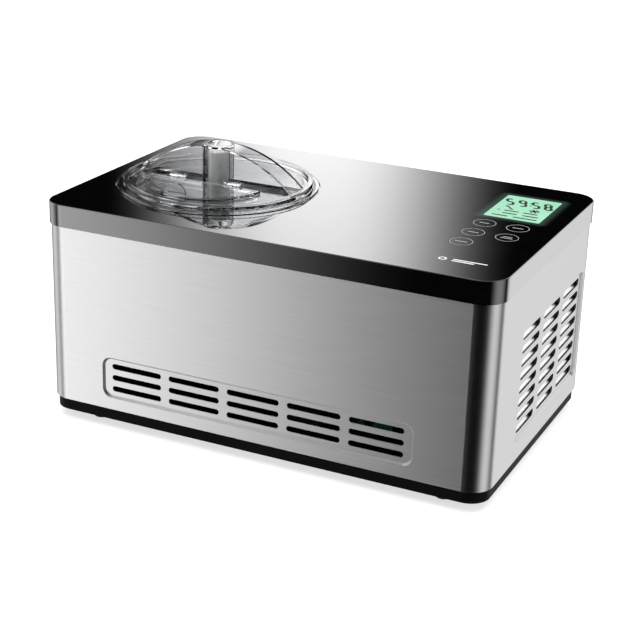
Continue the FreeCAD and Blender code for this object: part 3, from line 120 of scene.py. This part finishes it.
def moulded(name, colour, rough, grain=900, grain_depth=0.00004, spread=0.25, **sockets):
    """Moulded plastic, rubber or foam: colour and roughness drift slowly over a fine surface grain."""
    material, tree, shader = new_material(name)
    drift = noise(tree, 14, 3)
    darker = tuple(c * (1 - spread) for c in colour)
    tree.links.new(ramp(tree, drift, [(0.3, darker), (0.7, colour)]), shader.inputs["Base Color"])
    tree.links.new(remap(tree, noise(tree, 60, 4), rough - 0.04, rough + 0.04), shader.inputs["Roughness"])
    bump(tree, shader, noise(tree, grain, 3), 0.25, grain_depth)
    for key, value in sockets.items():
        shader.inputs[key.replace("_", " ")].default_value = value
    return material


def metal(name, colour, rough, stretch, spread=0.08, vary=0.07, depth=0.00002, anisotropic=0.0):
    """Metal whose colour, roughness and relief follow fine streaks; the stretch says which way they run."""
    material, tree, shader = new_material(name)
    streaks = noise(tree, 40, 5, 0.65, stretch)
    darker = tuple(c * (1 - spread) for c in colour)
    tree.links.new(ramp(tree, streaks, [(0.3, darker), (0.7, colour)]), shader.inputs["Base Color"])
    tree.links.new(remap(tree, streaks, rough - vary, rough + vary), shader.inputs["Roughness"])
    bump(tree, shader, streaks, 0.15, depth)
    shader.inputs["Metallic"].default_value = 1.0
    if anisotropic:
        shader.inputs["Anisotropic"].default_value = anisotropic
        shader.inputs["Anisotropic Rotation"].default_value = 0.25
        tangent = add(tree, "ShaderNodeTangent", direction_type="RADIAL", axis="Z")
        tree.links.new(tangent.outputs["Tangent"], shader.inputs["Tangent"])
    return material


def clear(name, colour):
    """Clear moulded plastic with faint flow ripples."""
    material, tree, shader = new_material(name)
    ripple = noise(tree, 22, 2)
    tint = tuple(c * 0.985 for c in colour)
    tree.links.new(ramp(tree, ripple, [(0.3, tint), (0.7, colour)]), shader.inputs["Base Color"])
    tree.links.new(remap(tree, noise(tree, 120, 3), 0.0, 0.02), shader.inputs["Roughness"])
    bump(tree, shader, ripple, 0.05, 0.0002)
    shader.inputs["Transmission Weight"].default_value = 1.0
    shader.inputs["IOR"].default_value = 1.49
    return material


def gloss_black():
    """The top moulding: black lacquer with slight orange peel, and a painted glow: the lacquer itself emits
    green light round the display's window.
    """
    material, tree, shader = new_material("gloss_black")
    lacquer = [(0.3, (0.0012, 0.0012, 0.0014)), (0.7, (0.002, 0.002, 0.0022))]
    tree.links.new(ramp(tree, noise(tree, 30, 3), lacquer), shader.inputs["Base Color"])
    tree.links.new(remap(tree, noise(tree, 90, 4), 0.025, 0.04), shader.inputs["Roughness"])
    bump(tree, shader, noise(tree, 260, 2), 0.03, 0.00002)
    shader.inputs["Specular IOR Level"].default_value = 0.8
    shader.inputs["Coat Weight"].default_value = 1.0
    shader.inputs["Coat Roughness"].default_value = 0.02
    shader.inputs["Coat IOR"].default_value = 1.6
    # painted glow: the cover emits green light at the display window's edge, fading out within 10 mm of it
    low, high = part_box("display_window")
    centre = [(low[i] + high[i]) / 2 for i in range(2)]
    half = [(high[i] - low[i]) / 2 for i in range(2)]
    split = add(tree, "ShaderNodeSeparateXYZ")
    tree.links.new(position(tree), split.inputs["Vector"])
    squares = []
    for i, side in enumerate("XY"):
        off = reckon(tree, "SUBTRACT", split.outputs[side], centre[i])
        size = reckon(tree, "MAXIMUM", off, reckon(tree, "MULTIPLY", off, -1.0))
        gap = reckon(tree, "MAXIMUM", reckon(tree, "SUBTRACT", size, half[i]), 0.0)
        squares.append(reckon(tree, "MULTIPLY", gap, gap))
    away = reckon(tree, "POWER", reckon(tree, "ADD", squares[0], squares[1]), 0.5)
    reach, strength = 0.010, 0.10
    painted_glow = add(tree, "ShaderNodeMapRange", {"From Max": reach, "To Min": strength, "To Max": 0.0},
               interpolation_type="SMOOTHERSTEP")
    tree.links.new(away, painted_glow.inputs["Value"])
    tree.links.new(painted_glow.outputs["Result"], shader.inputs["Emission Strength"])
    shader.inputs["Emission Color"].default_value = (0.45, 0.80, 0.62, 1)
    return material


def display_green():
    """Backlit display: mint green with faint clouds in its light."""
    material, tree, shader = new_material("display")
    clouds = noise(tree, 30, 2)
    unlit = [(0.3, (0.03, 0.06, 0.045)), (0.7, (0.04, 0.07, 0.055))]
    lit = [(0.3, (0.36, 0.72, 0.50)), (0.7, (0.41, 0.77, 0.55))]
    tree.links.new(ramp(tree, clouds, unlit), shader.inputs["Base Color"])
    tree.links.new(ramp(tree, clouds, lit), shader.inputs["Emission Color"])
    shader.inputs["Emission Strength"].default_value = 1.0
    shader.inputs["Roughness"].default_value = 0.12
    return material


def floor_paper():
    """White studio paper with a steady glow of its own, which softens the shadows on it."""
    paper = moulded("floor_paper", (0.42, 0.42, 0.42), 0.8, spread=0.01, grain=300)
    shader = next(n for n in paper.node_tree.nodes if n.type == "BSDF_PRINCIPLED")
    shader.inputs["Emission Color"].default_value = (1, 1, 1, 1)
    shader.inputs["Emission Strength"].default_value = 0.68
    return paper


# the wrap is brushed round its sides: long in plan, fine in height
brushing = (0.35, 0.35, 30)
MATERIALS = {
    "gloss_black": gloss_black(),
    "black_plastic": moulded("black_plastic", (0.003, 0.003, 0.0033), 0.5, Specular_IOR_Level=0.04),
    "steel": metal("steel", (0.50, 0.50, 0.505), 0.34, brushing, spread=0.09, vary=0.05, depth=0.000006,
                   anisotropic=0.55),
    "pale_metal": metal("pale_metal", (0.82, 0.82, 0.82), 0.32, (3, 3, 3)),
    "rubber": moulded("rubber", (0.02, 0.02, 0.021), 0.72),
    "zinc_screw": metal("zinc_screw", (0.62, 0.62, 0.64), 0.28, (6, 6, 6)),
    "galvanised": metal("galvanised", (0.58, 0.59, 0.6), 0.42, (3, 3, 3), spread=0.25),
    "clear_plastic": clear("clear_plastic", (0.985, 0.99, 1.0)),
    "display": display_green(),
    "board_green": moulded("board_green", (0.02, 0.14, 0.06), 0.35),
    "aluminium": metal("aluminium", (0.80, 0.81, 0.82), 0.24, (0.4, 0.4, 14), anisotropic=0.3),
    "copper": metal("copper", (0.78, 0.40, 0.26), 0.26, (3, 3, 3), spread=0.2),
    "foam": moulded("foam", (0.78, 0.74, 0.58), 0.9, grain=500, grain_depth=0.0004),
    "white_plastic": moulded("white_plastic", (0.68, 0.68, 0.67), 0.28, spread=0.03),
    "grey_plastic": moulded("grey_plastic", (0.55, 0.55, 0.55), 0.35, spread=0.06),
    "clear_silicone": moulded("clear_silicone", (0.72, 0.74, 0.76), 0.4, spread=0.05,
                              Transmission_Weight=0.6),
    "polished_steel": metal("polished_steel", (0.72, 0.72, 0.73), 0.15, (2, 2, 20)),
    "acetal": moulded("acetal", (0.82, 0.8, 0.72), 0.45, spread=0.06),
    "bronze": metal("bronze", (0.55, 0.38, 0.2), 0.4, (5, 5, 5), spread=0.25),
    "black_paint": moulded("black_paint", (0.022, 0.022, 0.024), 0.3, Coat_Weight=0.4),
    "winding": metal("winding", (0.62, 0.26, 0.11), 0.3, (1, 1, 60), spread=0.4),
}
ink_white = moulded("ink_white", (0.30, 0.31, 0.32), 0.4, spread=0.05)
ink_silver = moulded("ink_silver", (0.62, 0.63, 0.64), 0.35, spread=0.05)
ink_dark = moulded("ink_dark", (0.003, 0.010, 0.007), 0.35)

slot_of = {s["node"]: s["material_slot"] for s in frame["record"]["subparts"]}
for name, obj in frame["nodes"].items():
    obj.data.materials.clear()
    obj.data.materials.append(MATERIALS[slot_of[name]])

# ---------------------------------------------------------------- printed marks


def mesh_piece(name, bm, material, body):
    """Turns a finished bmesh into a piece that rides on a body."""
    mesh = bpy.data.meshes.new(name)
    bmesh.ops.recalc_face_normals(bm, faces=bm.faces)
    bm.to_mesh(mesh)
    bm.free()
    made = bpy.data.objects.new(name, mesh)
    scene.collection.objects.link(made)
    made.data.materials.append(material)
    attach(made, body)


def flat_prism(bm, outline, z, height):
    """A thin closed prism from a plan outline."""
    lower = [bm.verts.new((x, y, z)) for x, y in outline]
    upper = [bm.verts.new((x, y, z + height)) for x, y in outline]
    bm.faces.new(list(reversed(lower)))
    bm.faces.new(upper)
    count = len(outline)
    for i in range(count):
        j = (i + 1) % count
        bm.faces.new((lower[i], lower[j], upper[j], upper[i]))


def flat_ring(bm, x, y, outer, inner, z, height, count=72):
    """A flat closed ring about a point."""
    turns = [(math.cos(2 * math.pi * i / count), math.sin(2 * math.pi * i / count)) for i in range(count)]
    rings = []
    for radius, level in ((outer, z), (outer, z + height), (inner, z + height), (inner, z)):
        rings.append([bm.verts.new((x + radius * c, y + radius * s, level)) for c, s in turns])
    for a, b in zip(rings, rings[1:] + rings[:1]):
        for i in range(count):
            j = (i + 1) % count
            bm.faces.new((a[i], a[j], b[j], b[i]))


def stroke(bm, start, end, width, z, height, taper=0.5):
    """A straight mark with pointed ends, as a display's segment or a printed dash."""
    a, b = Vector(start), Vector(end)
    run = (b - a).normalized()
    side = Vector((-run.y, run.x)) * width / 2
    tip = run * width * taper
    points = [a, a + tip + side, b - tip + side, b, b - tip - side, a + tip - side]
    flat_prism(bm, [(p.x, p.y) for p in points], z, height)


# the lit segments of each digit shown: a is the top, b and c run down the right, d is the foot, e and f run
# up the left, g is the middle
SEGMENTS = {"5": "afgcd", "8": "abcdefg", "9": "abfgcd"}


def digit(bm, char, x, y, w, h, weight, z, height):
    """A seven-segment digit round its middle, leaning as the display's digits do."""
    def at(u, t):
        return (x + (u - 0.5) * w + digit_lean * (t - 0.5) * h, y + (t - 0.5) * h)

    ends = {"a": (at(0, 1), at(1, 1)), "b": (at(1, 1), at(1, 0.5)), "c": (at(1, 0.5), at(1, 0)),
            "d": (at(1, 0), at(0, 0)), "e": (at(0, 0), at(0, 0.5)), "f": (at(0, 0.5), at(0, 1)),
            "g": (at(0, 0.5), at(1, 0.5))}
    for segment in SEGMENTS[char]:
        stroke(bm, *ends[segment], weight, z, height)


print_h = 0.00006
low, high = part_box("display_window")
top_z = high[2]
span_x, span_y = high[0] - low[0], high[1] - low[1]


def on_display(u, t):
    return low[0] + u * span_x, low[1] + t * span_y


marks = bmesh.new()
digit_w, digit_h, digit_lean = 0.0055, 0.0162, -0.30
digit_y = on_display(0, 0.72)[1]
for char, u in zip("5958", (0.16, 0.395, 0.635, 0.86)):
    digit(marks, char, on_display(u, 0)[0], digit_y, digit_w, digit_h, 0.0027, top_z, print_h)
for side in (-1, 1):
    dot_x, dot_y = on_display(0.54, 0)[0] + side * digit_lean * 0.2 * digit_h, digit_y + side * 0.2 * digit_h
    flat_prism(marks, [(dot_x - 0.0009, dot_y - 0.0009), (dot_x + 0.0009, dot_y - 0.0009),
                       (dot_x + 0.0009, dot_y + 0.0009), (dot_x - 0.0009, dot_y + 0.0009)], top_z, print_h)
# a stirrer and a snow crystal
stir_x, stir_y = on_display(0.26, 0.47)
bends = ((-0.005, 0.0045), (0.0, 0.001), (0.001, -0.002), (0.005, -0.005))
stirrer = [(stir_x + x, stir_y + y) for x, y in bends]
for start, end in zip(stirrer, stirrer[1:]):
    stroke(marks, start, end, 0.0024, top_z, print_h)
snow_x, snow_y = on_display(0.72, 0.46)
for k in range(3):
    turn = math.radians(60 * k)
    dx, dy = 0.0052 * math.cos(turn), 0.0052 * math.sin(turn)
    stroke(marks, (snow_x - dx, snow_y - dy), (snow_x + dx, snow_y + dy), 0.0015, top_z, print_h)
    for end in (-1, 1):
        fork = (snow_x + end * dx * 0.55, snow_y + end * dy * 0.55)
        for bend in (-0.8, 0.8):
            branch = (snow_x + end * (dx * 0.55 + 0.0020 * math.cos(turn + bend)),
                      snow_y + end * (dy * 0.55 + 0.0020 * math.sin(turn + bend)))
            stroke(marks, fork, branch, 0.0009, top_z, print_h)
# three plain lines where the display has its captions
CAPTIONS = ((0.33, ((0.10, 0.16), (0.22, 0.50), (0.56, 0.84))), (0.215, ((0.24, 0.52), (0.60, 0.90))),
            (0.10, ((0.10, 0.40), (0.48, 0.92))))
for t, dashes in CAPTIONS:
    for start, end in dashes:
        stroke(marks, on_display(start, t), on_display(end, t), 0.0024, top_z, print_h)
mesh_piece("display_marks", marks, ink_dark, "housing")

# a plain silver mark near the front edge: a small ring and two bars
badge_x, badge_y, badge_z = 0.150, -0.100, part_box("top_cover")[1][2]
badge = bmesh.new()
flat_ring(badge, badge_x, badge_y, 0.0036, 0.0022, badge_z, print_h)
for row, (start, end) in enumerate(((0.008, 0.038), (0.008, 0.028))):
    level = badge_y + 0.0018 - row * 0.0036
    stroke(badge, (badge_x + start, level), (badge_x + end, level), 0.0020, badge_z, print_h)
mesh_piece("badge", badge, ink_silver, "housing")

# where the dashes on each key start and end, in key radii
KEY_DASHES = {"key_timer": ((-0.5, 0.45),), "key_menu": ((-0.5, 0.5),), "key_power": ((-0.55, 0.55),),
              "key_adjust": ((-0.5, 0.5),), "key_start": ((-0.45, 0.45), (-0.55, 0.55))}
for name, dashes in KEY_DASHES.items():
    lower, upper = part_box(name)
    x, y, r = (lower[0] + upper[0]) / 2, (lower[1] + upper[1]) / 2, (upper[0] - lower[0]) / 2
    face = bmesh.new()
    flat_ring(face, x, y, r * 0.985, r * 0.93, upper[2], print_h)
    first = y + (0.16 * r if len(dashes) > 1 else 0)
    for k, (start, end) in enumerate(dashes):
        level = first - k * 0.34 * r
        stroke(face, (x + start * r, level), (x + end * r, level), 0.0013, upper[2], print_h)
    mesh_piece(name + "_print", face, ink_white, name)

# ---------------------------------------------------------------- surroundings


# the studio's upright soft lights, placed left of the front, at both sides and behind;
# each has a bearing and half its width in degrees, where 0 is the front and 90 the right, and a strength
SOFT_LIGHTS = (
    (-40, 20, 3.0),
    (90, 45, 1.3),
    (-90, 45, 1.3),
    (155, 30, 1.6),
    (-155, 8, 2.0),
)
CEILING = 0.55


def soft_lights(tree, split):
    """The sum of the upright soft lights, each strongest along its middle and gone at its edges."""
    front = reckon(tree, "MULTIPLY", split.outputs["Y"], -1.0)
    bearing = reckon(tree, "ARCTAN2", split.outputs["X"], front)
    total = 0.0
    for middle, half_width, strength in SOFT_LIGHTS:
        off = reckon(tree, "SUBTRACT", bearing, math.radians(middle))
        edges = {"From Max": math.radians(half_width), "To Min": strength, "To Max": 0.0}
        fall = add(tree, "ShaderNodeMapRange", edges, interpolation_type="SMOOTHERSTEP")
        tree.links.new(reckon(tree, "PINGPONG", off, math.pi), fall.inputs["Value"])
        total = reckon(tree, "ADD", total, fall.outputs["Result"])
    return total


def blend(tree, share, first, second):
    """A value between two others."""
    step = reckon(tree, "SUBTRACT", second, first)
    return reckon(tree, "ADD", first, reckon(tree, "MULTIPLY", share, step))


def build_world():
    """A dark studio with soft lights round it, under an even soft ceiling; the camera sees plain white."""
    world = bpy.data.worlds.new("studio")
    scene.world = world
    world.use_nodes = True
    tree = world.node_tree
    tree.nodes.clear()
    place = add(tree, "ShaderNodeTexCoord")
    split = add(tree, "ShaderNodeSeparateXYZ")
    tree.links.new(place.outputs["Generated"], split.inputs["Vector"])
    share = remap(tree, split.outputs["Z"], 0.0, 1.0, 0.6, 0.85)
    level = blend(tree, share, soft_lights(tree, split), CEILING)
    soft = add(tree, "ShaderNodeBackground", {"Color": (1, 1, 1, 1)})
    tree.links.new(level, soft.inputs["Strength"])
    plain = add(tree, "ShaderNodeBackground", {"Color": (1, 1, 1, 1), "Strength": 1.0})
    path = add(tree, "ShaderNodeLightPath")
    choose = add(tree, "ShaderNodeMixShader")
    tree.links.new(path.outputs["Is Camera Ray"], choose.inputs["Fac"])
    tree.links.new(soft.outputs[0], choose.inputs[1])
    tree.links.new(plain.outputs[0], choose.inputs[2])
    out = add(tree, "ShaderNodeOutputWorld")
    tree.links.new(choose.outputs[0], out.inputs["Surface"])


def build_floor():
    """One wide sheet of paper under the feet."""
    bm = bmesh.new()
    reach = 40.0
    bm.faces.new([bm.verts.new((x * reach, y * reach, 0)) for x, y in ((-1, -1), (1, -1), (1, 1), (-1, 1))])
    mesh = bpy.data.meshes.new("floor")
    bm.to_mesh(mesh)
    bm.free()
    floor = bpy.data.objects.new("floor", mesh)
    scene.collection.objects.link(floor)
    floor.data.materials.append(floor_paper())
    floor.visible_glossy = False


def build_light():
    """One wide soft light overhead, facing down."""
    data = bpy.data.lights.new("ceiling", "AREA")
    data.shape = "RECTANGLE"
    data.size, data.size_y = 5.0, 5.0
    data.energy = 210
    lamp = bpy.data.objects.new("ceiling", data)
    scene.collection.objects.link(lamp)
    lamp.location = (0, 0, 3.2)
    lamp.visible_glossy = False


def build_camera():
    """A long lens in front and to the right, above the top plate, leaning by the two degrees of the shot."""
    azimuth, elevation, roll = math.radians(24.60), math.radians(21.27), math.radians(1.82)
    sa, ca, se, ce = math.sin(azimuth), math.cos(azimuth), math.sin(elevation), math.cos(elevation)
    back = Vector((sa * ce, -ca * ce, se))
    right = Vector((ca, sa, 0))
    up = back.cross(right)
    lean_right = math.cos(roll) * right + math.sin(roll) * up
    lean_up = -math.sin(roll) * right + math.cos(roll) * up
    data = bpy.data.cameras.new("camera")
    data.sensor_width = 36.0
    data.lens = 88.68
    data.clip_end = 200.0
    camera = bpy.data.objects.new("camera", data)
    scene.collection.objects.link(camera)
    turn = Matrix((lean_right, lean_up, back)).transposed().to_4x4()
    camera.matrix_world = Matrix.Translation((0.5604, -1.2285, 0.6134)) @ turn
    scene.camera = camera


build_world()
build_floor()
build_light()
build_camera()
